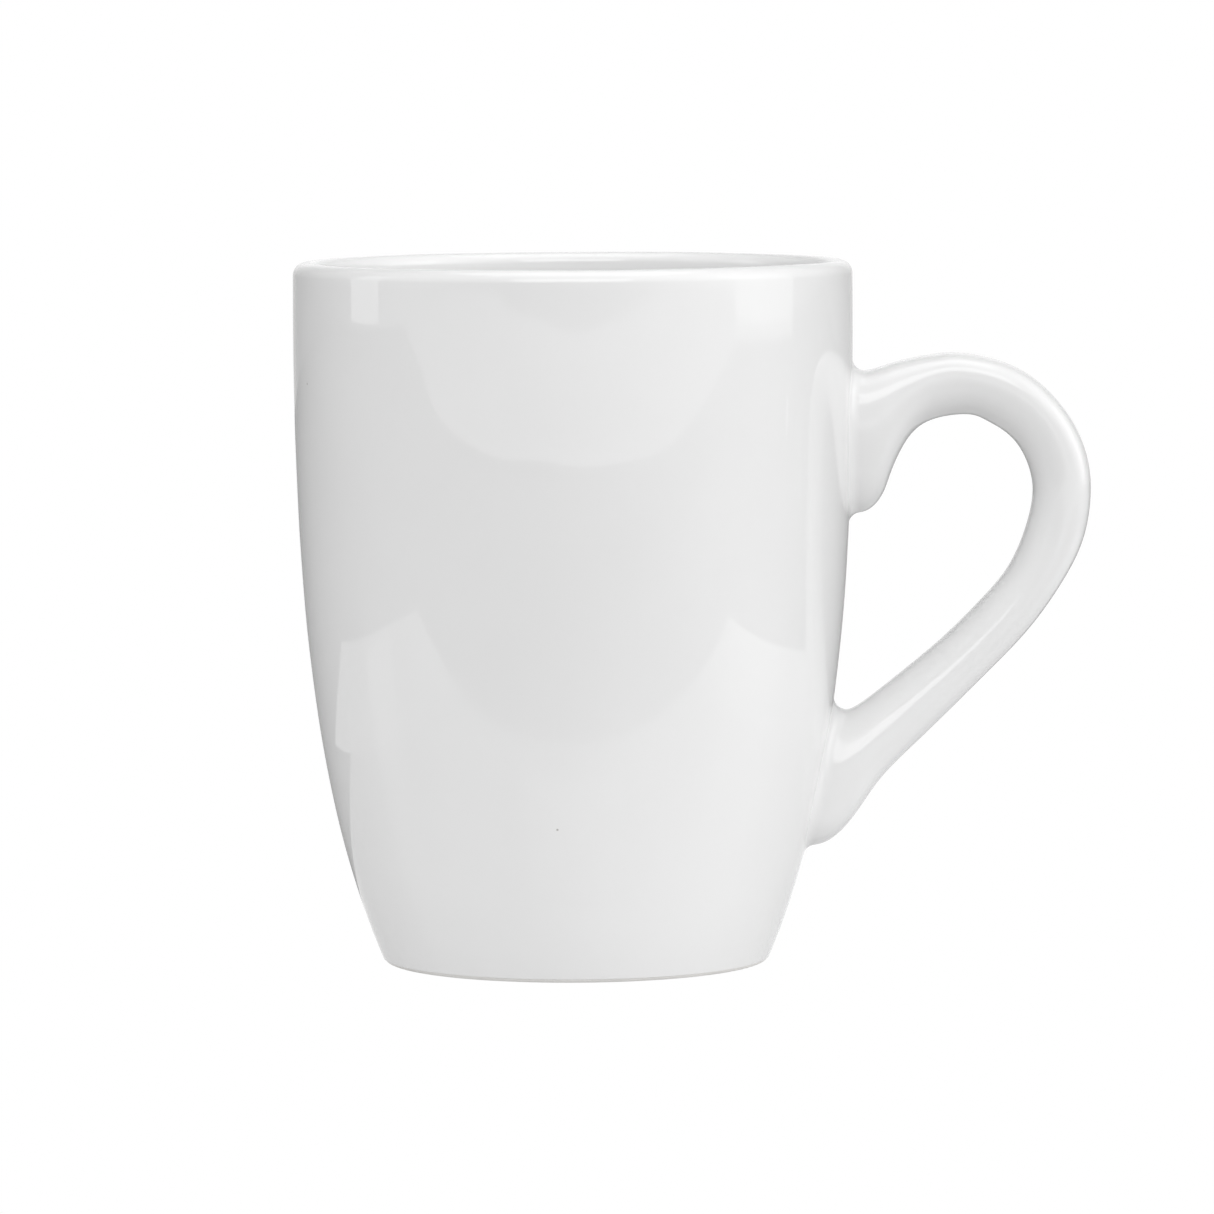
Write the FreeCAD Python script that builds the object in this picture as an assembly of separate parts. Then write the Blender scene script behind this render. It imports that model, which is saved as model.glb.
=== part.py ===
"""A glazed ceramic mug, built up the way a pottery builds it. All sizes are in millimetres.

The cup is one cast clay shell. Its wall is almost upright below the lip and draws in to a narrower
foot ring. The handle is a second, solid casting: an ear-shaped loop with tall ends. Slip, which is
liquid clay, fills the gap between each of its ends and the cup and is sponged into a hollow bead
round the joint. The glaze is a thin coat of glass over the clay: one coat outside the cup, one
inside it, one over the handle and its beads, and one on the base inside the foot ring. The ring's
own face is left bare, because the mug stands on it in the kiln.

Frame: +Z is up, the origin is the middle of the foot ring where it meets the table, and the handle
points along +X. Every outline is drawn in the XZ plane. A depth is how far a surface lies under the
glazed surface: 0 on the glaze itself, and GLAZE on the clay below it.
"""

import FreeCAD
import Part
import math
import os

from FreeCAD import Vector

# ---- cup ----
CUP_HEIGHT = 104.2
CUP_RADIUS = 41.5  # outside, below the lip
LIP_OUTER_ROUND = 1.9
LIP_INNER_ROUND = 1.6
LIP_DEPTH = 5.0  # from the lip's top to where the walls' long curves start
WALL_CURVE_TOP_PULL = 33.2  # how far the outside curve keeps the direction it has at its top
WALL_CURVE_FOOT_PULL = 31.0  # and the direction it has at the foot
FOOT_RADIUS = 28.6  # where the outside curve would meet the table
FOOT_LEAN = 23.0  # the wall's lean from upright there, in degrees
FLOOR_HEIGHT = 6.4  # the cup's inside floor, above the table
FLOOR_ROUND = 9.0  # radius of the corner between the inside wall and floor
WALL_AT_FLOOR = 4.4  # the wall's thickness above that corner
INSIDE_FOOT_PULL = 22.0

# ---- foot ring ----
RING_INNER_RADIUS = 22.6
RING_ROUND = 0.9
RECESS_DEPTH = 2.4  # from the table up to the clay base inside the ring
RECESS_ROUND = 1.2

# ---- glaze ----
GLAZE = 0.30
GLAZE_AT_FOOT = 0.14  # it thins towards its lower edge, which is wiped off the foot
GLAZE_EDGE_HEIGHT = 1.1

# ---- handle: the loop's outer edge, inner edge and half width, round from the upper end ----
UPPER_END = (
    ((36.0, 87.6), (36.0, 66.8), 6.7),
    ((40.0, 87.6), (40.0, 66.7), 6.7),
    ((43.2, 87.7), (43.5, 66.9), 6.7),
    ((45.4, 88.2), (45.6, 68.9), 6.7),
    ((48.0, 89.0), (46.9, 72.0), 6.5),
    ((51.0, 89.7), (48.6, 75.9), 6.3),
    ((54.4, 90.2), (52.2, 79.9), 6.0),
)
CROWN_OUTSIDE = (56.3, 69.8, 20.5)  # the crown's outer arc: centre x, centre z, radius
CROWN_INSIDE = (56.9, 69.8, 11.3)
CROWN_ANGLES = (88, 68, 48, 28, 8, -12)  # in degrees up from +X
CROWN_HALF_WIDTH = 5.9
LOWER_END = (
    ((73.2, 57.3), (65.1, 59.4), 5.8),
    ((68.2, 50.0), (60.9, 54.0), 5.8),
    ((61.7, 43.1), (55.3, 48.4), 5.8),
    ((55.0, 36.5), (49.4, 43.4), 5.9),
    ((49.4, 31.1), (45.1, 40.0), 6.1),
    ((44.8, 26.2), (42.0, 37.8), 6.4),
    ((41.2, 21.1), (39.6, 36.9), 6.6),
    ((37.6, 17.7), (36.8, 36.6), 6.6),
    ((31.0, 17.4), (31.0, 36.5), 6.6),
)
SECTION_POWER = 2.25  # the loop's section: 2 would be an ellipse, and more is squarer
SECTION_LEAN = 0.30  # its widest place is this far from the middle to the outer edge
SECTION_POINTS = 16

# ---- joints between the handle and the cup ----
SLIP = 0.45  # thickness of the slip between a handle's end and the cup
BEAD_ROUND = 1.9  # the hollow bead's radius, over the glaze
COLLAR_REACH = 1.6  # how far from the cup's clay the slip reaches along the handle
NECK_INSET = 0.5  # how much smaller all round the handle's scored ends are, inside their collars
COAT_SPLIT = BEAD_ROUND + 0.6  # how far round the handle its coat of glaze reaches over the cup


def at(x, z):
    return Vector(x, 0, z)


def direction(degrees):
    """The unit vector that many degrees up from +X, in the XZ plane."""
    angle = math.radians(degrees)
    return at(math.cos(angle), math.sin(angle))


def line(a, b):
    return Part.LineSegment(a, b).toShape()


def arc(centre, radius, start, end):
    angles = (start, (start + end) / 2, end)
    return Part.Arc(*[centre + direction(angle) * radius for angle in angles]).toShape()


def turned(edges):
    """The solid that a closed outline sweeps round the Z axis, with its seam away from the handle."""
    face = Part.Face(Part.Wire(Part.__sortEdges__(edges)))
    solid = face.revolve(at(0, 0), Vector(0, 0, 1), 360)
    solid.rotate(at(0, 0), Vector(0, 0, 1), 180)
    return solid


# ---- outlines of the cup ----

UP_THE_WALL = direction(90 - FOOT_LEAN)
INTO_THE_WALL = direction(180 - FOOT_LEAN)
LIP_CREST_RADIUS = CUP_RADIUS - LIP_OUTER_ROUND


def wall_curve(depth):
    """The outside wall's long curve, from the lip down to the table."""
    depth_at_foot = depth * GLAZE_AT_FOOT / GLAZE if depth > 0 else depth
    top = at(CUP_RADIUS - depth, CUP_HEIGHT - LIP_DEPTH)
    foot = at(FOOT_RADIUS, 0) + INTO_THE_WALL * depth_at_foot
    near_top = top - at(0, WALL_CURVE_TOP_PULL)
    near_foot = foot + UP_THE_WALL * WALL_CURVE_FOOT_PULL + INTO_THE_WALL * (depth - depth_at_foot)
    curve = Part.BezierCurve()
    curve.setPoles([top, near_top, near_foot, foot])
    return curve


def above(curve, height):
    """The stretch of a falling curve above a height, as an edge, and its lower end."""
    level = Part.Plane(at(0, height), Vector(0, 0, 1))
    crossing = curve.intersect(level)[0][0]
    end = at(crossing.X, crossing.Z)
    return curve.toShape(curve.FirstParameter, curve.parameter(end)), end


def outside_edges(depth, end_height):
    """From the lip's crest down the outside wall to a height, and the last point of that."""
    lip_centre = at(LIP_CREST_RADIUS, CUP_HEIGHT - LIP_OUTER_ROUND)
    below_lip = at(CUP_RADIUS - depth, lip_centre.z)
    wall, end = above(wall_curve(depth), end_height)
    edges = [
        arc(lip_centre, LIP_OUTER_ROUND - depth, 90, 0),
        line(below_lip, at(below_lip.x, CUP_HEIGHT - LIP_DEPTH)),
        wall,
    ]
    return edges, end


def inside_edges(depth):
    """From the lip's crest down the inside wall and along the floor to the axis."""
    lip_centre = at(LIP_CREST_RADIUS, CUP_HEIGHT - LIP_INNER_ROUND)
    below_lip = lip_centre + at(depth - LIP_INNER_ROUND, 0)
    wall_top = at(below_lip.x, CUP_HEIGHT - LIP_DEPTH)
    corner_height = FLOOR_HEIGHT + FLOOR_ROUND
    outside = above(wall_curve(0), corner_height)[1]
    reach = (WALL_AT_FLOOR + FLOOR_ROUND) / math.cos(math.radians(FOOT_LEAN))
    corner_centre = at(outside.x - reach, corner_height)
    corner_radius = FLOOR_ROUND + depth
    wall_foot = corner_centre - INTO_THE_WALL * corner_radius
    wall = Part.BezierCurve()
    wall.setPoles([
        wall_top,
        wall_top - at(0, WALL_CURVE_TOP_PULL),
        wall_foot + UP_THE_WALL * INSIDE_FOOT_PULL,
        wall_foot,
    ])
    floor_height = FLOOR_HEIGHT - depth
    return [
        arc(lip_centre, LIP_INNER_ROUND - depth, 90, 180),
        line(below_lip, wall_top),
        wall.toShape(),
        arc(corner_centre, corner_radius, -FOOT_LEAN, -90),
        line(at(corner_centre.x, floor_height), at(0, floor_height)),
    ]


def foot_edges(wall_end):
    """From the wall's lower end round the bare foot ring and along the base to the axis."""
    outer_centre = wall_end + INTO_THE_WALL * RING_ROUND
    inner_centre = at(RING_INNER_RADIUS + RING_ROUND, RING_ROUND)
    recess_centre = at(RING_INNER_RADIUS - RECESS_ROUND, RECESS_DEPTH - RECESS_ROUND)
    return [
        arc(outer_centre, RING_ROUND, -FOOT_LEAN, -90),
        line(at(outer_centre.x, 0), at(inner_centre.x, 0)),
        arc(inner_centre, RING_ROUND, -90, -180),
        line(at(RING_INNER_RADIUS, RING_ROUND), at(RING_INNER_RADIUS, recess_centre.z)),
        arc(recess_centre, RECESS_ROUND, 0, 90),
        line(at(recess_centre.x, RECESS_DEPTH), at(0, RECESS_DEPTH)),
    ]


# ---- the cup and its coats ----

def cup_body():
    """The cup's clay: one open shell that stands on a ring."""
    ring_top = RING_ROUND * (1 - math.sin(math.radians(FOOT_LEAN)))
    outside, wall_end = outside_edges(GLAZE, ring_top)
    axis = line(at(0, RECESS_DEPTH), at(0, FLOOR_HEIGHT - GLAZE))
    return turned(outside + foot_edges(wall_end) + [axis] + inside_edges(GLAZE))


def crest_edge():
    """Where the inner and outer coats meet, on top of the lip."""
    return line(at(LIP_CREST_RADIUS, CUP_HEIGHT), at(LIP_CREST_RADIUS, CUP_HEIGHT - GLAZE))


def inner_glaze():
    axis = line(at(0, FLOOR_HEIGHT), at(0, FLOOR_HEIGHT - GLAZE))
    return turned(inside_edges(0) + inside_edges(GLAZE) + [crest_edge(), axis])


def wall_glaze():
    """The outer coat of the cup before the handle's coat takes its place round the joints."""
    surface, surface_end = outside_edges(0, GLAZE_EDGE_HEIGHT)
    clay, clay_end = outside_edges(GLAZE, GLAZE_EDGE_HEIGHT)
    return turned(surface + [line(surface_end, clay_end)] + clay + [crest_edge()])


def foot_glaze():
    """The disc of glaze on the base, inside the ring's inner corner."""
    radius = RING_INNER_RADIUS - RECESS_ROUND
    return Part.makeCylinder(radius, GLAZE, at(0, RECESS_DEPTH - GLAZE))


def filled_cup(depth):
    """The cup's outside as a solid with nothing inside it, to trim and to join the handle to."""
    outside, wall_end = outside_edges(depth, GLAZE_EDGE_HEIGHT)
    top = CUP_HEIGHT - depth
    across = line(wall_end, at(0, wall_end.z))
    axis = line(at(0, wall_end.z), at(0, top))
    return turned(outside + [across, axis, line(at(0, top), at(LIP_CREST_RADIUS, top))])


# ---- the handle ----

def crown_station(angle):
    ends = []
    for x, z, radius in (CROWN_OUTSIDE, CROWN_INSIDE):
        end = at(x, z) + direction(angle) * radius
        ends.append((end.x, end.z))
    return ends[0], ends[1], CROWN_HALF_WIDTH


def section_points(station, depth):
    """Points round the loop's section, a rounded oval that spans its outer and inner edges."""
    outer, inner, half_width = station
    middle = (at(*outer) + at(*inner)) / 2
    across = (at(*inner) - at(*outer)) / 2
    half_height = across.Length - depth
    across.normalize()
    points = []
    for i in range(SECTION_POINTS):
        angle = 2 * math.pi * i / SECTION_POINTS
        u, v = [
            math.copysign(abs(part) ** (2 / SECTION_POWER), part)
            for part in (math.cos(angle), math.sin(angle))
        ]
        u -= SECTION_LEAN * (1 - u * u)
        points.append(middle + across * (u * half_height) + Vector(0, v * (half_width - depth), 0))
    return points


def section_curve(points):
    curve = Part.BSplineCurve()
    curve.interpolate(Points=points, PeriodicFlag=True, Parameters=list(range(len(points) + 1)))
    return curve


def loop(depth):
    """The whole loop as one solid, with both of its ends inside the cup's wall."""
    stations = UPPER_END + tuple(crown_station(a) for a in CROWN_ANGLES) + LOWER_END
    rows = [section_points(station, depth) for station in stations]
    sections = [section_curve(row) for row in rows]
    distances = [0.0]
    for row, next_row in zip(rows, rows[1:]):
        steps = [(b - a).Length for a, b in zip(row, next_row)]
        distances.append(distances[-1] + sum(steps) / len(steps))
    columns = []
    for i in range(sections[0].NbPoles):
        path = Part.BSplineCurve()
        path.interpolate(Points=[s.getPole(i + 1) for s in sections], Parameters=distances)
        columns.append(path.getPoles())
    around, along = sections[0], path
    skin = Part.BSplineSurface()
    skin.buildFromPolesMultsKnots(
        columns, around.getMultiplicities(), along.getMultiplicities(),
        around.getKnots(), along.getKnots(), True, False, around.Degree, along.Degree,
    )
    caps = [Part.Face(Part.Wire(s.toShape())) for s in (sections[0], sections[-1])]
    return Part.makeSolid(Part.makeShell([skin.toShape()] + caps))


# ---- the joined form, and the pieces cut from it ----

def is_joint(edge):
    """True for an edge where the loop runs into the cup's wall."""
    box = edge.BoundBox
    return box.XMin > 0 and box.YLength > CROWN_HALF_WIDTH


def joined_form(depth):
    """The filled cup and the loop as one, with the hollow beads round their joints."""
    form = filled_cup(depth).fuse(loop(depth))
    joints = [edge for edge in form.Edges if is_joint(edge)]
    return form.makeFillet(BEAD_ROUND + depth, joints)


def handle_and_joints(clay_form):
    """The handle's clay, and the two collars of slip that hold its ends, upper one first."""
    neck = loop(GLAZE + NECK_INSET).cut(filled_cup(GLAZE - SLIP))
    near_wall = filled_cup(GLAZE - COLLAR_REACH)
    handle = clay_form.cut(near_wall).fuse(neck)
    collars = clay_form.common(near_wall).cut(filled_cup(GLAZE)).cut(neck)
    return handle, sorted(collars.Solids, key=lambda solid: -solid.CenterOfMass.z)


def main():
    os.makedirs("parts", exist_ok=True)
    clay_form = joined_form(GLAZE)
    handle, collars = handle_and_joints(clay_form)
    handle_patch = loop(-COAT_SPLIT)
    nodes = {
        "cup_body": cup_body(),
        "handle": handle,
        "upper_handle_joint": collars[0],
        "lower_handle_joint": collars[1],
        "outer_glaze": wall_glaze().cut(handle_patch),
        "inner_glaze": inner_glaze(),
        "handle_glaze": joined_form(0).cut(clay_form).common(handle_patch),
        "foot_glaze": foot_glaze(),
    }
    for name, shape in nodes.items():
        shape.exportStep(f"parts/{name}.step")
        print(name, shape.isValid(), len(shape.Solids), len(shape.Faces), round(shape.Volume, 1))


main()
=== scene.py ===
"""The mug's looks: smooth glazed skins round the packed clay parts, and a plain white studio.

Sizes below are in millimetres and are turned into metres where a mesh, a light or a camera is made.
The frame is the part's own: +Z up, origin on the table in the middle of the foot, handle along +X.
"""

import math

import bpy
import numpy as np
from mathutils import Matrix, Vector


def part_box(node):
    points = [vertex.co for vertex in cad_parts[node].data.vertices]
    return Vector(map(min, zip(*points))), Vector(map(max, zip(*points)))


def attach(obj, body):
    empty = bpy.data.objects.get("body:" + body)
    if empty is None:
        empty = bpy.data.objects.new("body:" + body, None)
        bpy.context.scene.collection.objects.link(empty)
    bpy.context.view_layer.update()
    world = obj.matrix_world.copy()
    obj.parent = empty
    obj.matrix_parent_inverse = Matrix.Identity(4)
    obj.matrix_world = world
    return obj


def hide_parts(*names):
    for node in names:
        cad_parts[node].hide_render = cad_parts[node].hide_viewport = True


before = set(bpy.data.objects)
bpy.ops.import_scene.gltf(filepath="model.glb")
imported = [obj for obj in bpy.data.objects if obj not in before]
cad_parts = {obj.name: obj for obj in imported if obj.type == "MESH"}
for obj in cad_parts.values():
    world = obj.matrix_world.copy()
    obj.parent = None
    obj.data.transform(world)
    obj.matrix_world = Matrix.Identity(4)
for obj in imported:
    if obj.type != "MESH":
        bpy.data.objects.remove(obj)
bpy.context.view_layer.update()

MM = 0.001

# ---- the cup, as in the part ----
OUTSIDE_HIGH = np.array(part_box("outer_glaze")[1]) / MM
CUP_RADIUS = OUTSIDE_HIGH[1]
CUP_HEIGHT = OUTSIDE_HIGH[2]
LIP_OUTER_ROUND = 1.9
LIP_INNER_ROUND = 1.6
LIP_DEPTH = 5.0
LIP_CREST_RADIUS = CUP_RADIUS - LIP_OUTER_ROUND
INSIDE_RADIUS = LIP_CREST_RADIUS - LIP_INNER_ROUND
WALL_CURVE_TOP_PULL = 33.2
WALL_CURVE_FOOT_PULL = 31.0
FOOT_RADIUS = 28.6
FOOT_LEAN = math.radians(23.0)
FLOOR_HEIGHT = 6.4
FLOOR_ROUND = 9.0
WALL_AT_FLOOR = 4.4
INSIDE_FOOT_PULL = 22.0
RING_INNER_RADIUS = 22.6
RECESS_DEPTH = 2.4
RECESS_ROUND = 1.2

# ---- the coats, whose edges differ a little from the part's ----
GLAZE = 0.30
GLAZE_AT_FOOT = 0.14
GLAZE_THINS_BELOW = 30.0
COAT_EDGE_HEIGHT = 0.6  # where the wiped edge of the glaze ends
RECESS_COAT_EDGE_HEIGHT = 0.9

# ---- the handle's stations, as in the part: outer edge, inner edge, half width ----
UPPER_END = (
    ((36.0, 87.6), (36.0, 66.8), 6.7),
    ((40.0, 87.6), (40.0, 66.7), 6.7),
    ((43.2, 87.7), (43.5, 66.9), 6.7),
    ((45.4, 88.2), (45.6, 68.9), 6.7),
    ((48.0, 89.0), (46.9, 72.0), 6.5),
    ((51.0, 89.7), (48.6, 75.9), 6.3),
    ((54.4, 90.2), (52.2, 79.9), 6.0),
)
CROWN_OUTSIDE = (56.3, 69.8, 20.5)
CROWN_INSIDE = (56.9, 69.8, 11.3)
CROWN_ANGLES = (88, 68, 48, 28, 8, -12)
CROWN_HALF_WIDTH = 5.9
LOWER_END = (
    ((73.2, 57.3), (65.1, 59.4), 5.8),
    ((68.2, 50.0), (60.9, 54.0), 5.8),
    ((61.7, 43.1), (55.3, 48.4), 5.8),
    ((55.0, 36.5), (49.4, 43.4), 5.9),
    ((49.4, 31.1), (45.1, 40.0), 6.1),
    ((44.8, 26.2), (42.0, 37.8), 6.4),
    ((41.2, 21.1), (39.6, 36.9), 6.6),
    ((37.6, 17.7), (36.8, 36.6), 6.6),
    ((31.0, 17.4), (31.0, 36.5), 6.6),
)
SECTION_POWER = 2.25
SECTION_LEAN = 0.30
BEAD_ROUND = 1.9
BEAD_SINK = 0.05  # how far the bead's circle dips below the wall, which leaves a faint crease

# ---- mesh resolution ----
COLUMNS = 288  # round the cup
WINDOW_COLUMNS = 26  # of them are cut out round each of the handle's joints
WINDOW_ROWS = 30
AROUND = 2 * (WINDOW_COLUMNS + WINDOW_ROWS)  # round the handle: one for each point of a window's rim
PATCH_RINGS = 6
BEAD_ROWS = 12
TUBE_ROWS = 210
UPPER_WINDOW = (61.5, 93.0)  # lowest and highest z
LOWER_WINDOW = (12.0, 42.5)
ROWS_BELOW_WINDOWS = 12
ROWS_BETWEEN_WINDOWS = 20
ROWS_ABOVE_WINDOWS = 7
LIP_ROWS = (4, 15, 13, 5)  # outer side, outer round, inner round, inner side
INSIDE_ROWS = (80, 15, 12)  # wall, corner, floor
RECESS_ROWS = (2, 9, 14)  # side, corner, base
WALL_SAMPLES = 4000
SLOPE_REACH = 0.05
SECTION_SAMPLES = 2001
LOOP_SAMPLES = 1500

# ---- the glaze's slow ripples: wavelength, height, direction and phase ----
RIPPLES = (
    (31.0, 0.016, (0.9, 0.2, 0.5), 0.4),
    (23.0, 0.012, (-0.3, 0.8, 0.7), 2.1),
    (17.0, 0.008, (0.6, -0.7, 0.4), 4.0),
    (13.0, 0.005, (0.2, 0.5, -0.9), 1.3),
    (9.5, 0.0025, (-0.8, 0.5, 0.5), 5.2),
)

# ---- finishes: noise and cells are counted per metre, and heights are in metres ----
GLAZE_WHITES = ((0.800, 0.800, 0.800), (0.815, 0.815, 0.815))
GLAZE_ROUGHNESS = (0.008, 0.020)
GLAZE_IOR = 1.5
PEEL_HEIGHT = 4e-7
SPECK_COLOUR = (0.45, 0.44, 0.42)
SPECK_CELLS = 75
SPECK_EDGE = (0.008, 0.016)  # as shares of a cell: where a speck starts to fade and where it ends
CLAY_COLOURS = ((0.78, 0.77, 0.75), (0.82, 0.81, 0.79))
CLAY_ROUGHNESS = (0.75, 0.95)
GRAIN_HEIGHT = 5e-5
NOISE_MIDDLE = (0.3, 0.7)  # the part of the noise's own range that is used
MOTTLE = 0.01  # how far a studio surface's whiteness wanders

# ---- the camera ----
CAMERA_PLACE = (0, -1135, 143)
CAMERA_YAW, CAMERA_PITCH, CAMERA_ROLL = (math.radians(angle) for angle in (0.244, 4.55, -0.298))
CAMERA_LENS = 226.9
CAMERA_SENSOR = 36

# ---- the studio: azimuths turn from the camera towards +X, and radiance 1 is plain white ----
SURFACES = (  # name, left, right, front, back, height, own glow, whiteness, shine, roughness
    ("board_middle", -140, 148, -124, 60, 0, 0.42, 0.30, 0.5, 0.05),
    ("board_back", -30, 148, 60, 125, 0, 0.42, 0.30, 0.5, 0.05),
    ("board_left", -278, -140, -124, 125, 0, 0.56, 0.30, 0.5, 0.05),
    ("board_right", 148, 262, -124, 125, 0, 0.55, 0.30, 0.5, 0.05),
    ("table", -2200, 2200, -690, 1500, -3, 0.0, 0.22, 0.1, 0.30),
    ("front", -2200, 2200, -2250, -690, -3, 0.85, 0.50, 0.1, 0.60),
)
TENT_GLOW = 0.23
TENT_LAMPS = (  # azimuth, elevation, sharpness, radiance
    (70, 15, 6, 1.95),
    (-70, 15, 6, 1.20),
    (120, 15, 6, 0.10),
    (25, 10, 6, 0.35),
    (0, 50, 6, 0.45),
    (180, 10, 16, 0.80),
)
SOFTBOXES = (  # name, place, height it faces, width and height, radiance
    ("right_softbox", (596, -71, 274), 274, (338, 420), 0.9),
    ("left_softbox", (-598, 22, 282), 282, (170, 420), 1.3),
    ("front_softbox", (0, -640, 430), 60, (600, 300), 2.5),
    ("top_softbox", (0, 0, 760), 60, (600, 500), 1.4),
    ("right_stand", (595, 56, 38), 38, (4, 20), 3.0),
)


# ---- curves ----

def bezier(poles, count):
    """Points along a cubic Bezier curve."""
    t = np.linspace(0, 1, count)[:, None]
    p = np.array(poles, float)
    weights = ((1 - t) ** 3, 3 * (1 - t) ** 2 * t, 3 * (1 - t) * t ** 2, t ** 3)
    return sum(weight * pole for weight, pole in zip(weights, p))


def arc(centre, radius, start, end, count):
    a = np.radians(np.linspace(start, end, count))
    return np.column_stack([centre[0] + radius * np.cos(a), centre[1] + radius * np.sin(a)])


def straight(a, b, count):
    t = np.linspace(0, 1, count)[:, None]
    return (1 - t) * np.array(a, float) + t * np.array(b, float)


def joined(*stretches):
    """One line of points from several that end where the next begins."""
    return np.vstack([stretches[0]] + [stretch[1:] for stretch in stretches[1:]])


def spline(knots, values, places):
    """A smooth (natural cubic) curve through the values at the knots, read at the places."""
    values = np.asarray(values, float)
    flat = values.reshape(len(knots), -1)
    steps = np.diff(knots)
    slopes = np.diff(flat, axis=0) / steps[:, None]
    matrix = np.eye(len(knots))
    right = np.zeros_like(flat)
    for i in range(1, len(knots) - 1):
        matrix[i, i - 1:i + 2] = steps[i - 1], 2 * (steps[i - 1] + steps[i]), steps[i]
        right[i] = 6 * (slopes[i] - slopes[i - 1])
    bend = np.linalg.solve(matrix, right)
    i = np.clip(np.searchsorted(knots, places) - 1, 0, len(steps) - 1)
    h = steps[i][:, None]
    a = ((knots[i + 1] - places)[:, None]) / h
    b = 1 - a
    bent = ((a ** 3 - a) * bend[i] + (b ** 3 - b) * bend[i + 1]) * h ** 2 / 6
    return (a * flat[i] + b * flat[i + 1] + bent).reshape((len(places),) + values.shape[1:])


# ---- the wall's outside surface ----

UP_THE_WALL = np.array([math.sin(FOOT_LEAN), math.cos(FOOT_LEAN)])
INTO_THE_WALL = np.array([-math.cos(FOOT_LEAN), math.sin(FOOT_LEAN)])
WALL_TOP = np.array([CUP_RADIUS, CUP_HEIGHT - LIP_DEPTH])
WALL_FOOT = np.array([FOOT_RADIUS, 0.0])
WALL_CURVE = bezier([
    WALL_FOOT,
    WALL_FOOT + UP_THE_WALL * WALL_CURVE_FOOT_PULL,
    WALL_TOP - np.array([0, WALL_CURVE_TOP_PULL]),
    WALL_TOP,
], WALL_SAMPLES)


def wall_radius(z):
    return np.interp(z, WALL_CURVE[:, 1], WALL_CURVE[:, 0])


def wall_slope(z):
    return (wall_radius(z + SLOPE_REACH) - wall_radius(z - SLOPE_REACH)) / (2 * SLOPE_REACH)


def wall_point(angle, z):
    radius = wall_radius(z)
    return np.stack([radius * np.cos(angle), radius * np.sin(angle), z], -1)


def wall_normal(points):
    """The wall's outward normal beside the points."""
    slope = wall_slope(points[..., 2])
    across = np.hypot(points[..., 0], points[..., 1])
    normal = np.stack([points[..., 0] / across, points[..., 1] / across, -slope], -1)
    return normal / np.linalg.norm(normal, axis=-1, keepdims=True)


def height_over_wall(points):
    """How far points stand out of the wall, measured square to it."""
    across = np.hypot(points[..., 0], points[..., 1]) - wall_radius(points[..., 2])
    return across / np.sqrt(1 + wall_slope(points[..., 2]) ** 2)


def onto_wall(points):
    angle = np.arctan2(points[..., 1], points[..., 0])
    return angle, points[..., 2]


# ---- meshes ----

def unit(vectors):
    return vectors / np.maximum(np.linalg.norm(vectors, axis=-1, keepdims=True), 1e-12)


def rippled(points, normals):
    """The points moved along their normals by the glaze's slow ripples."""
    height = np.zeros(points.shape[:-1])
    for wavelength, size, direction, phase in RIPPLES:
        along = points @ unit(np.array(direction))
        height += size * np.sin(2 * math.pi * along / wavelength + phase)
    return points + normals * height[..., None]


def vertex_normals(points, faces):
    """Area-weighted normals at the vertices of a mesh of quads and triangles."""
    normals = np.zeros_like(points)
    for size in (3, 4):
        some = np.array([f for f in faces if len(f) == size], int).reshape(-1, size)
        if len(some):
            a, b = (some[:, 2], some[:, 0]), (some[:, -1], some[:, 1])
            area = np.cross(points[a[0]] - points[a[1]], points[b[0]] - points[b[1]])
            for i in range(size):
                np.add.at(normals, some[:, i], area)
    return unit(normals)


def rim_edges(faces):
    """The directed edges that only one face has."""
    found = {}
    for face in faces:
        for a, b in zip(face, face[1:] + face[:1]):
            found[(a, b)] = True
    return [edge for edge in found if (edge[1], edge[0]) not in found]


def coat(points, faces, thickness):
    """A closed coat below a skin: its points, its faces, and its sharp rims."""
    below = points - vertex_normals(points, faces) * np.reshape(thickness, (-1, 1))
    count = len(points)
    rims = rim_edges(faces)
    under = [tuple(count + i for i in reversed(face)) for face in faces]
    sides = [(b, a, a + count, b + count) for a, b in rims]
    sharp = {frozenset(e) for e in rims} | {frozenset((a + count, b + count)) for a, b in rims}
    return np.vstack([points, below]), faces + under + sides, sharp


def add_piece(name, points, faces, material, nodes, sharp=()):
    """A smooth mesh piece in place of some CAD nodes."""
    mesh = bpy.data.meshes.new(name)
    mesh.from_pydata((points * MM).tolist(), [], faces)
    mesh.validate()
    mesh.shade_smooth()
    if sharp:
        flags = [frozenset(edge.vertices) in sharp for edge in mesh.edges]
        mesh.attributes.new("sharp_edge", "BOOLEAN", "EDGE").data.foreach_set("value", flags)
    mesh.materials.append(material)
    piece = bpy.data.objects.new(name, mesh)
    bpy.context.scene.collection.objects.link(piece)
    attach(piece, "root")
    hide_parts(*nodes)
    return piece


def grid_faces(rows, columns, closed, first=0, skip=()):
    """Quads between the rows of a grid, which closes on itself if asked, less the skipped ones."""
    faces = []
    for i in range(rows - 1):
        for j in range(columns if closed else columns - 1):
            if (i, j) not in skip:
                k = (j + 1) % columns
                faces.append(tuple(first + n for n in (
                    i * columns + j, i * columns + k, (i + 1) * columns + k, (i + 1) * columns + j)))
    return faces


def without_loose(points, faces):
    """The mesh less the points that no face uses."""
    used = sorted({i for face in faces for i in face})
    number = {old: new for new, old in enumerate(used)}
    return points[used], [tuple(number[i] for i in face) for face in faces]


# ---- the handle's skin ----

def crown_station(angle):
    ends = []
    for x, z, radius in (CROWN_OUTSIDE, CROWN_INSIDE):
        a = math.radians(angle)
        ends.append((x + radius * math.cos(a), z + radius * math.sin(a)))
    return ends[0], ends[1], CROWN_HALF_WIDTH


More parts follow.
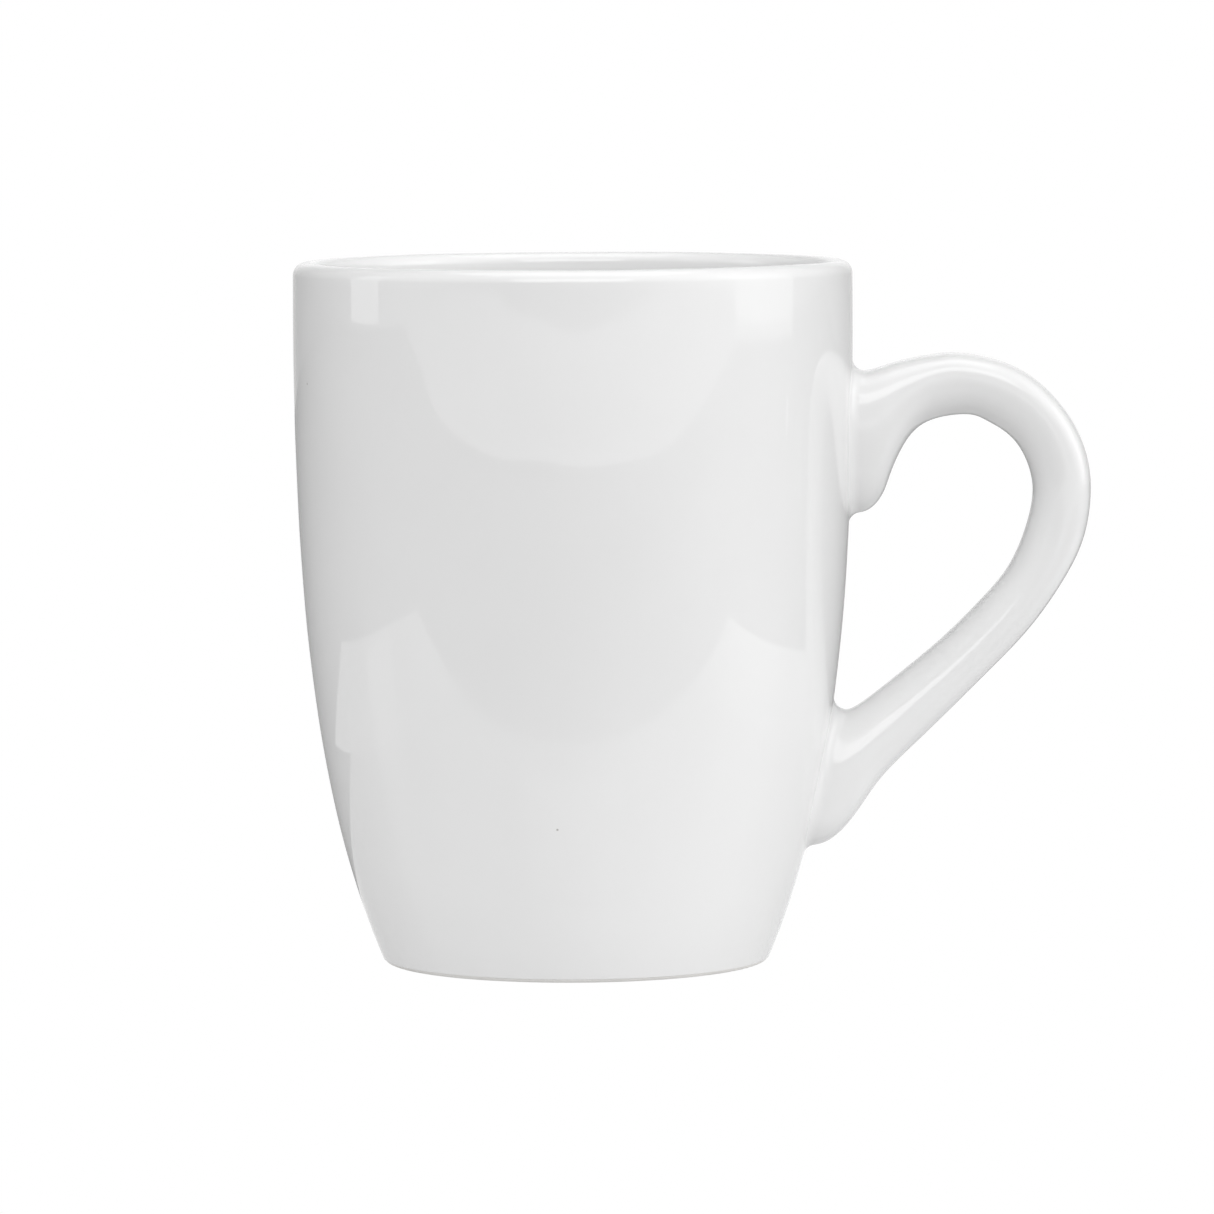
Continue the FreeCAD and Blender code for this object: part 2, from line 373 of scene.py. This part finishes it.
def section(station):
    """Evenly spaced points round the loop's oval section, from its inner edge, towards +Y first."""
    outer, inner, half_width = (np.array(part, float) for part in station)
    outer, inner = (np.array([p[0], 0, p[1]]) for p in (outer, inner))
    angle = np.linspace(0, 2 * math.pi, SECTION_SAMPLES)
    u, v = (np.sign(w) * np.abs(w) ** (2 / SECTION_POWER) for w in (np.cos(angle), np.sin(angle)))
    u = u - SECTION_LEAN * (1 - u * u)
    oval = (outer + inner) / 2 + u[:, None] * (inner - outer) / 2 + np.outer(v, [0, half_width, 0])
    length = np.concatenate([[0], np.cumsum(np.linalg.norm(np.diff(oval, axis=0), axis=1))])
    even = np.linspace(0, length[-1], AROUND + 1)[:-1]
    return np.column_stack([np.interp(even, length, oval[:, i]) for i in range(3)])


def loop_tube(rows):
    """The whole loop's skin before its beads: rows of points from the upper end to the lower one."""
    stations = UPPER_END + tuple(crown_station(a) for a in CROWN_ANGLES) + LOWER_END
    sections = np.array([section(station) for station in stations])
    steps = np.linalg.norm(np.diff(sections, axis=0), axis=2).mean(axis=1)
    distances = np.concatenate([[0], np.cumsum(steps)])
    return spline(distances, sections, np.linspace(0, distances[-1], rows))


def tube_normals(tube):
    along = np.gradient(tube, axis=0)
    around = np.roll(tube, -1, axis=1) - np.roll(tube, 1, axis=1)
    return unit(np.cross(around, along))


def first_touch(heights):
    """For each line of a tube, where the bead's circle first comes down to the wall from the middle."""
    middle = len(heights) // 2
    places = []
    for line in heights.T:
        i = next(n for n in range(middle, 0, -1) if line[n - 1] < 0)
        places.append(i - line[i] / (line[i] - line[i - 1]))
    return np.array(places)


def read_rows(grid, places):
    """The grid's values at a fractional row for each of its columns."""
    low = np.clip(places.astype(int), 0, len(grid) - 2)
    share = (places - low)[..., None]
    columns = np.arange(grid.shape[1])
    return grid[low, columns] * (1 - share) + grid[low + 1, columns] * share


def bead(contact, normal):
    """Rows of points from the tube down the bead's hollow arc to the wall."""
    centre = contact + normal * BEAD_ROUND
    start, end = -normal, -wall_normal(centre)
    span = np.arccos(np.clip((start * end).sum(-1), -1, 1))[:, None]
    crease = math.acos((BEAD_ROUND - BEAD_SINK) / BEAD_ROUND)
    rows = []
    for share in np.linspace(0, 1, BEAD_ROWS):
        turn = (span - crease) * share
        direction = (np.sin(span - turn) * start + np.sin(turn) * end) / np.sin(span)
        rows.append(centre + direction * BEAD_ROUND)
    rows[-1] = wall_point(*onto_wall(rows[-1]))
    return np.array(rows)


def handle_skin():
    """Rows of the handle's glazed surface, from the wall at its upper end to the wall at its lower one."""
    fine = loop_tube(LOOP_SAMPLES)
    normals = tube_normals(fine)
    heights = height_over_wall(fine + normals * BEAD_ROUND) - (BEAD_ROUND - BEAD_SINK)
    upper = first_touch(heights)
    lower = len(fine) - 1 - first_touch(heights[::-1])
    beads = [bead(read_rows(fine, end), unit(read_rows(normals, end))) for end in (upper, lower)]
    between = [upper + (lower - upper) * share for share in np.linspace(0, 1, TUBE_ROWS)]
    tube = np.array([read_rows(fine, places) for places in between])
    return np.vstack([beads[0][::-1], tube[1:-1], beads[1]])


# ---- the pieces ----

def window_rim(low, high):
    """Angles and heights of a window's rim, from the middle of its lower edge, towards +Y first."""
    half = math.pi * WINDOW_COLUMNS / COLUMNS
    middle, side = WINDOW_COLUMNS // 2, WINDOW_ROWS
    corners = [(0, low), (half, low), (half, high), (0, high), (-half, high), (-half, low), (0, low)]
    counts = [middle, side, middle, middle, side, middle]
    stretches = [straight(a, b, n + 1)[:-1] for a, b, n in zip(corners, corners[1:], counts)]
    return np.vstack(stretches)


def from_below(edge):
    """The lower bead's edge in the order of a window's rim: from its lowest point, towards +Y first."""
    return np.roll(edge[::-1], AROUND // 2 + 1, axis=0)


def patch(edge, low, high):
    """Rings of angles and heights from a bead's edge out to its window's rim, both left out."""
    inner = np.column_stack(onto_wall(edge))
    outer = window_rim(low, high)
    return [inner + (outer - inner) * n / (PATCH_RINGS + 1) for n in range(1, PATCH_RINGS + 1)]


def wall_profile():
    """Radius and height down the rows of the outer coat, from its lower edge to inside the lip."""
    heights = np.concatenate([
        np.linspace(COAT_EDGE_HEIGHT, LOWER_WINDOW[0], ROWS_BELOW_WINDOWS)[:-1],
        np.linspace(*LOWER_WINDOW, WINDOW_ROWS + 1),
        np.linspace(LOWER_WINDOW[1], UPPER_WINDOW[0], ROWS_BETWEEN_WINDOWS)[1:-1],
        np.linspace(*UPPER_WINDOW, WINDOW_ROWS + 1),
        np.linspace(UPPER_WINDOW[1], CUP_HEIGHT - LIP_DEPTH, ROWS_ABOVE_WINDOWS)[1:],
    ])
    wall = np.column_stack([wall_radius(heights), heights])
    side = (CUP_RADIUS, CUP_HEIGHT - LIP_OUTER_ROUND)
    inside = (INSIDE_RADIUS, CUP_HEIGHT - LIP_INNER_ROUND)
    lip = joined(
        straight(wall[-1], side, LIP_ROWS[0]),
        arc((LIP_CREST_RADIUS, side[1]), LIP_OUTER_ROUND, 0, 90, LIP_ROWS[1]),
        arc((LIP_CREST_RADIUS, inside[1]), LIP_INNER_ROUND, 90, 180, LIP_ROWS[2]),
        straight(inside, (INSIDE_RADIUS, CUP_HEIGHT - LIP_DEPTH), LIP_ROWS[3]),
    )
    return joined(wall, lip)


def turned(profile):
    """A grid of points that a profile of radii and heights sweeps round the cup's axis."""
    angle = 2 * math.pi * np.arange(COLUMNS) / COLUMNS
    radius, height = profile[:, 0, None], profile[:, 1, None]
    return np.stack([radius * np.cos(angle), radius * np.sin(angle), height + 0 * angle], -1)


def outer_skin(edges):
    """The cup's outer skin, with a window round each joint filled by a patch that ends at its bead."""
    profile = wall_profile()
    grid = turned(profile)
    points = [grid.reshape(-1, 3)]
    skip = set()
    half = WINDOW_COLUMNS // 2
    faces = []
    count = grid.shape[0] * COLUMNS
    for (low, high), edge in zip((UPPER_WINDOW, LOWER_WINDOW), edges):
        first_row = int(np.argmin(np.abs(profile[:, 1] - low)))
        skip |= {
            (first_row + i, j % COLUMNS) for i in range(WINDOW_ROWS) for j in range(-half, half)
        }
        rim = []
        for angle, height in window_rim(low, high):
            row = first_row + int(round((height - low) / (high - low) * WINDOW_ROWS))
            column = int(round(angle / (2 * math.pi) * COLUMNS)) % COLUMNS
            rim.append(row * COLUMNS + column)
        rings = [wall_point(ring[:, 0], ring[:, 1]) for ring in patch(edge, low, high)]
        starts = [count + n * AROUND for n in range(len(rings) + 1)]
        loops = [list(range(start, start + AROUND)) for start in starts]
        points.append(np.vstack([edge] + rings))
        count += AROUND * len(loops)
        for inner, outer in zip(loops, loops[1:] + [rim]):
            for j in range(AROUND):
                k = (j + 1) % AROUND
                faces.append((inner[j], outer[j], outer[k], inner[k]))
    faces += grid_faces(len(profile), COLUMNS, True, skip=skip)
    return without_loose(np.vstack(points), faces)


def add_outer_glaze(edges, material):
    points, faces = outer_skin(edges)
    points = rippled(points, vertex_normals(points, faces))
    near_foot = np.clip(1 - points[:, 2] / GLAZE_THINS_BELOW, 0, 1) ** 2
    thickness = GLAZE + (GLAZE_AT_FOOT - GLAZE) * near_foot
    points, faces, sharp = coat(points, faces, thickness)
    add_piece("outer_glaze_coat", points, faces, material, ["outer_glaze"], sharp)


def add_handle_glaze(skin, material):
    points = skin.reshape(-1, 3)
    faces = grid_faces(len(skin), AROUND, True)
    points = rippled(points, vertex_normals(points, faces))
    points, faces, sharp = coat(points, faces, np.full(len(points), GLAZE))
    add_piece("handle_glaze_coat", points, faces, material, ["handle_glaze"], sharp)


def turned_skin(profile):
    """A skin turned from a profile that ends on the axis, where its last ring closes to one point."""
    rings = turned(profile[:-1]).reshape(-1, 3)
    centre = np.array([[0, 0, profile[-1][1]]])
    last = (len(profile) - 2) * COLUMNS
    faces = grid_faces(len(profile) - 1, COLUMNS, True)
    cap = [(last + j, last + (j + 1) % COLUMNS, len(rings)) for j in range(COLUMNS)]
    return np.vstack([rings, centre]), faces + cap


def inside_profile():
    """Radius and height of the inner coat, from just inside the lip to the middle of the floor."""
    corner_height = FLOOR_HEIGHT + FLOOR_ROUND
    reach = (WALL_AT_FLOOR + FLOOR_ROUND) / math.cos(FOOT_LEAN)
    centre = np.array([wall_radius(corner_height) - reach, corner_height])
    foot = centre - INTO_THE_WALL * FLOOR_ROUND
    top = np.array([INSIDE_RADIUS, CUP_HEIGHT - LIP_DEPTH])
    wall = bezier([
        top,
        top - np.array([0, WALL_CURVE_TOP_PULL]),
        foot + UP_THE_WALL * INSIDE_FOOT_PULL,
        foot,
    ], INSIDE_ROWS[0])
    corner = arc(centre, FLOOR_ROUND, -math.degrees(FOOT_LEAN), -90, INSIDE_ROWS[1])
    return joined(wall, corner, straight(corner[-1], (0, FLOOR_HEIGHT), INSIDE_ROWS[2]))


def add_inner_glaze(material):
    points, faces = turned_skin(inside_profile())
    points = rippled(points, vertex_normals(points, faces))
    points, faces, sharp = coat(points, faces, np.full(len(points), GLAZE))
    add_piece("inner_glaze_coat", points, faces, material, ["inner_glaze"], sharp)


def foot_profile():
    """Radius and height of the base's coat, from the ring's inner side to the middle."""
    level = RECESS_DEPTH - GLAZE
    radius = RING_INNER_RADIUS - GLAZE
    centre = (radius - RECESS_ROUND, level - RECESS_ROUND)
    corner = arc(centre, RECESS_ROUND, 0, 90, RECESS_ROWS[1])
    return joined(
        straight((radius, RECESS_COAT_EDGE_HEIGHT), corner[0], RECESS_ROWS[0]),
        corner,
        straight(corner[-1], (0, level), RECESS_ROWS[2]),
    )


def add_foot_glaze(material):
    points, faces = turned_skin(foot_profile())
    faces = [face[::-1] for face in faces]
    points = rippled(points, vertex_normals(points, faces))
    points, faces, sharp = coat(points, faces, np.full(len(points), GLAZE))
    add_piece("foot_glaze_coat", points, faces, material, ["foot_glaze"], sharp)


# ---- materials ----

def new_material(name):
    material = bpy.data.materials.new(name)
    material.use_nodes = True
    nodes, links = material.node_tree.nodes, material.node_tree.links
    shader = next(n for n in nodes if n.type == "BSDF_PRINCIPLED")
    place = nodes.new("ShaderNodeTexCoord").outputs["Object"]
    return material, nodes, links, shader, place


def noise(nodes, links, place, scale, detail, low, high):
    """Noise at so many cells per metre, stretched to run from low to high."""
    texture = nodes.new("ShaderNodeTexNoise")
    texture.inputs["Scale"].default_value = scale
    texture.inputs["Detail"].default_value = detail
    links.new(place, texture.inputs["Vector"])
    spread = nodes.new("ShaderNodeMapRange")
    spread.inputs["From Min"].default_value, spread.inputs["From Max"].default_value = NOISE_MIDDLE
    spread.inputs["To Min"].default_value = low
    spread.inputs["To Max"].default_value = high
    links.new(texture.outputs["Fac"], spread.inputs["Value"])
    return spread.outputs["Result"]


def mix_colours(nodes, links, share, a, b):
    mix = nodes.new("ShaderNodeMix")
    mix.data_type = "RGBA"
    links.new(share, mix.inputs["Factor"])
    for socket, colour in ((mix.inputs["A"], a), (mix.inputs["B"], b)):
        if isinstance(colour, tuple):
            socket.default_value = (*colour, 1)
        else:
            links.new(colour, socket)
    return mix.outputs["Result"]


def bump(nodes, links, height, distance):
    node = nodes.new("ShaderNodeBump")
    node.inputs["Distance"].default_value = distance
    node.inputs["Strength"].default_value = 1
    links.new(height, node.inputs["Height"])
    return node.outputs["Normal"]


def glaze_material():
    """White glaze: glossy glass over white clay, with a faint cloudiness and a few tiny specks."""
    material, nodes, links, shader, place = new_material("white_glaze")
    clouds = noise(nodes, links, place, scale=45, detail=3, low=0, high=1)
    white = mix_colours(nodes, links, clouds, *GLAZE_WHITES)
    cells = nodes.new("ShaderNodeTexVoronoi")
    cells.inputs["Scale"].default_value = SPECK_CELLS
    links.new(place, cells.inputs["Vector"])
    dot = nodes.new("ShaderNodeMapRange")
    dot.inputs["From Min"].default_value, dot.inputs["From Max"].default_value = SPECK_EDGE
    dot.inputs["To Min"].default_value = 1
    dot.inputs["To Max"].default_value = 0
    links.new(cells.outputs["Distance"], dot.inputs["Value"])
    speckled = mix_colours(nodes, links, dot.outputs["Result"], white, SPECK_COLOUR)
    links.new(speckled, shader.inputs["Base Color"])
    low, high = GLAZE_ROUGHNESS
    polish = noise(nodes, links, place, scale=60, detail=4, low=low, high=high)
    links.new(polish, shader.inputs["Roughness"])
    peel = noise(nodes, links, place, scale=700, detail=2, low=0, high=1)
    links.new(bump(nodes, links, peel, PEEL_HEIGHT), shader.inputs["Normal"])
    shader.inputs["IOR"].default_value = GLAZE_IOR
    return material


def clay_material(name):
    """Bare fired clay: matt, a little warm, with a fine grain."""
    material, nodes, links, shader, place = new_material(name)
    clouds = noise(nodes, links, place, scale=120, detail=4, low=0, high=1)
    links.new(mix_colours(nodes, links, clouds, *CLAY_COLOURS), shader.inputs["Base Color"])
    low, high = CLAY_ROUGHNESS
    matt = noise(nodes, links, place, scale=400, detail=2, low=low, high=high)
    links.new(matt, shader.inputs["Roughness"])
    grain = noise(nodes, links, place, scale=3500, detail=3, low=0, high=1)
    links.new(bump(nodes, links, grain, GRAIN_HEIGHT), shader.inputs["Normal"])
    return material


# ---- the studio ----

def add_camera():
    """The photograph's viewpoint: a long lens a little higher than the lip, turned slightly down."""
    data = bpy.data.cameras.new("camera")
    data.sensor_width = CAMERA_SENSOR
    data.lens = CAMERA_LENS
    data.clip_start, data.clip_end = 0.05, 50
    camera = bpy.data.objects.new("camera", data)
    bpy.context.scene.collection.objects.link(camera)
    yaw, pitch, roll = CAMERA_YAW, CAMERA_PITCH, CAMERA_ROLL
    forward = Vector((
        math.sin(yaw) * math.cos(pitch), math.cos(yaw) * math.cos(pitch), -math.sin(pitch)))
    right = Vector((math.cos(yaw), -math.sin(yaw), 0))
    up = right.cross(forward)
    right, up = (
        math.cos(roll) * right + math.sin(roll) * up,
        math.cos(roll) * up - math.sin(roll) * right,
    )
    turn = Matrix((right, up, -forward)).transposed()
    camera.matrix_world = Matrix.Translation(Vector(CAMERA_PLACE) * MM) @ turn.to_4x4()
    bpy.context.scene.camera = camera


def add_softbox(name, place, facing_height, size, radiance):
    """A rectangular light that faces the mug and glows the same all over."""
    data = bpy.data.lights.new(name, "AREA")
    data.shape = "RECTANGLE"
    data.size, data.size_y = (side * MM for side in size)
    data.energy = radiance * math.pi * data.size * data.size_y
    light = bpy.data.objects.new(name, data)
    bpy.context.scene.collection.objects.link(light)
    light.location = Vector(place) * MM
    facing = Vector((-place[0], -place[1], facing_height - place[2]))
    light.rotation_euler = facing.to_track_quat("-Z", "Y").to_euler()
    light.visible_camera = False


def add_tent():
    """The white tent round the table: brighter where lamps shine through it, and plain white in view."""
    world = bpy.data.worlds.new("tent")
    world.use_nodes = True
    bpy.context.scene.world = world
    nodes, links = world.node_tree.nodes, world.node_tree.links
    nodes.clear()
    direction = nodes.new("ShaderNodeTexCoord").outputs["Generated"]

    def maths(operation, *values):
        node = nodes.new("ShaderNodeMath")
        node.operation = operation
        for value, socket in zip(values, node.inputs):
            if isinstance(value, (int, float)):
                socket.default_value = value
            else:
                links.new(value, socket)
        return node.outputs["Value"]

    total = maths("ADD", TENT_GLOW, 0)
    for azimuth, elevation, sharpness, radiance in TENT_LAMPS:
        around, rise = math.radians(azimuth), math.radians(elevation)
        axis = (math.sin(around) * math.cos(rise), -math.cos(around) * math.cos(rise), math.sin(rise))
        towards = nodes.new("ShaderNodeVectorMath")
        towards.operation = "DOT_PRODUCT"
        links.new(direction, towards.inputs[0])
        towards.inputs[1].default_value = axis
        lobe = maths("POWER", maths("MAXIMUM", towards.outputs["Value"], 0), sharpness)
        total = maths("ADD", total, maths("MULTIPLY", lobe, radiance))
    path = nodes.new("ShaderNodeLightPath")
    seen, lit = nodes.new("ShaderNodeBackground"), nodes.new("ShaderNodeBackground")
    seen.inputs["Color"].default_value = (1, 1, 1, 1)
    links.new(total, lit.inputs["Color"])
    mix, out = nodes.new("ShaderNodeMixShader"), nodes.new("ShaderNodeOutputWorld")
    links.new(path.outputs["Is Camera Ray"], mix.inputs["Fac"])
    links.new(lit.outputs["Background"], mix.inputs[1])
    links.new(seen.outputs["Background"], mix.inputs[2])
    links.new(mix.outputs["Shader"], out.inputs["Surface"])


def surface_material(name, glow, whiteness, shine, roughness):
    """White acrylic lit from below: it shines by itself, and it is burnt out to plain white in view."""
    material, nodes, links, shader, place = new_material(name)
    mottle = noise(nodes, links, place, scale=8, detail=2, low=0, high=1)
    darker, lighter = (whiteness - MOTTLE,) * 3, (whiteness + MOTTLE,) * 3
    white = mix_colours(nodes, links, mottle, darker, lighter)
    links.new(white, shader.inputs["Base Color"])
    shader.inputs["Roughness"].default_value = roughness
    shader.inputs["Specular IOR Level"].default_value = shine
    shader.inputs["Emission Color"].default_value = (1, 1, 1, 1)
    shader.inputs["Emission Strength"].default_value = glow
    path, seen = nodes.new("ShaderNodeLightPath"), nodes.new("ShaderNodeEmission")
    mix, out = nodes.new("ShaderNodeMixShader"), next(n for n in nodes if n.type == "OUTPUT_MATERIAL")
    links.new(path.outputs["Is Camera Ray"], mix.inputs["Fac"])
    links.new(shader.outputs["BSDF"], mix.inputs[1])
    links.new(seen.outputs["Emission"], mix.inputs[2])
    links.new(mix.outputs["Shader"], out.inputs["Surface"])
    return material


def add_surface(name, left, right, front, back, height, *finish):
    corners = [(left, front), (right, front), (right, back), (left, back)]
    mesh = bpy.data.meshes.new(name)
    mesh.from_pydata([(x * MM, y * MM, height * MM) for x, y in corners], [], [(0, 1, 2, 3)])
    mesh.materials.append(surface_material(name, *finish))
    surface = bpy.data.objects.new(name, mesh)
    bpy.context.scene.collection.objects.link(surface)


def add_studio():
    for surface in SURFACES:
        add_surface(*surface)
    add_tent()
    for softbox in SOFTBOXES:
        add_softbox(*softbox)


def main():
    add_camera()
    glaze = glaze_material()
    skin = handle_skin()
    add_outer_glaze((skin[0], from_below(skin[-1])), glaze)
    add_handle_glaze(skin, glaze)
    add_inner_glaze(glaze)
    add_foot_glaze(glaze)
    clay = clay_material("bare_clay")
    for name in ("cup_body", "handle", "upper_handle_joint", "lower_handle_joint"):
        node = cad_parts[name]
        node.data.materials.clear()
        node.data.materials.append(clay)
    add_studio()
    bpy.context.scene.view_settings.view_transform = "Standard"


main()
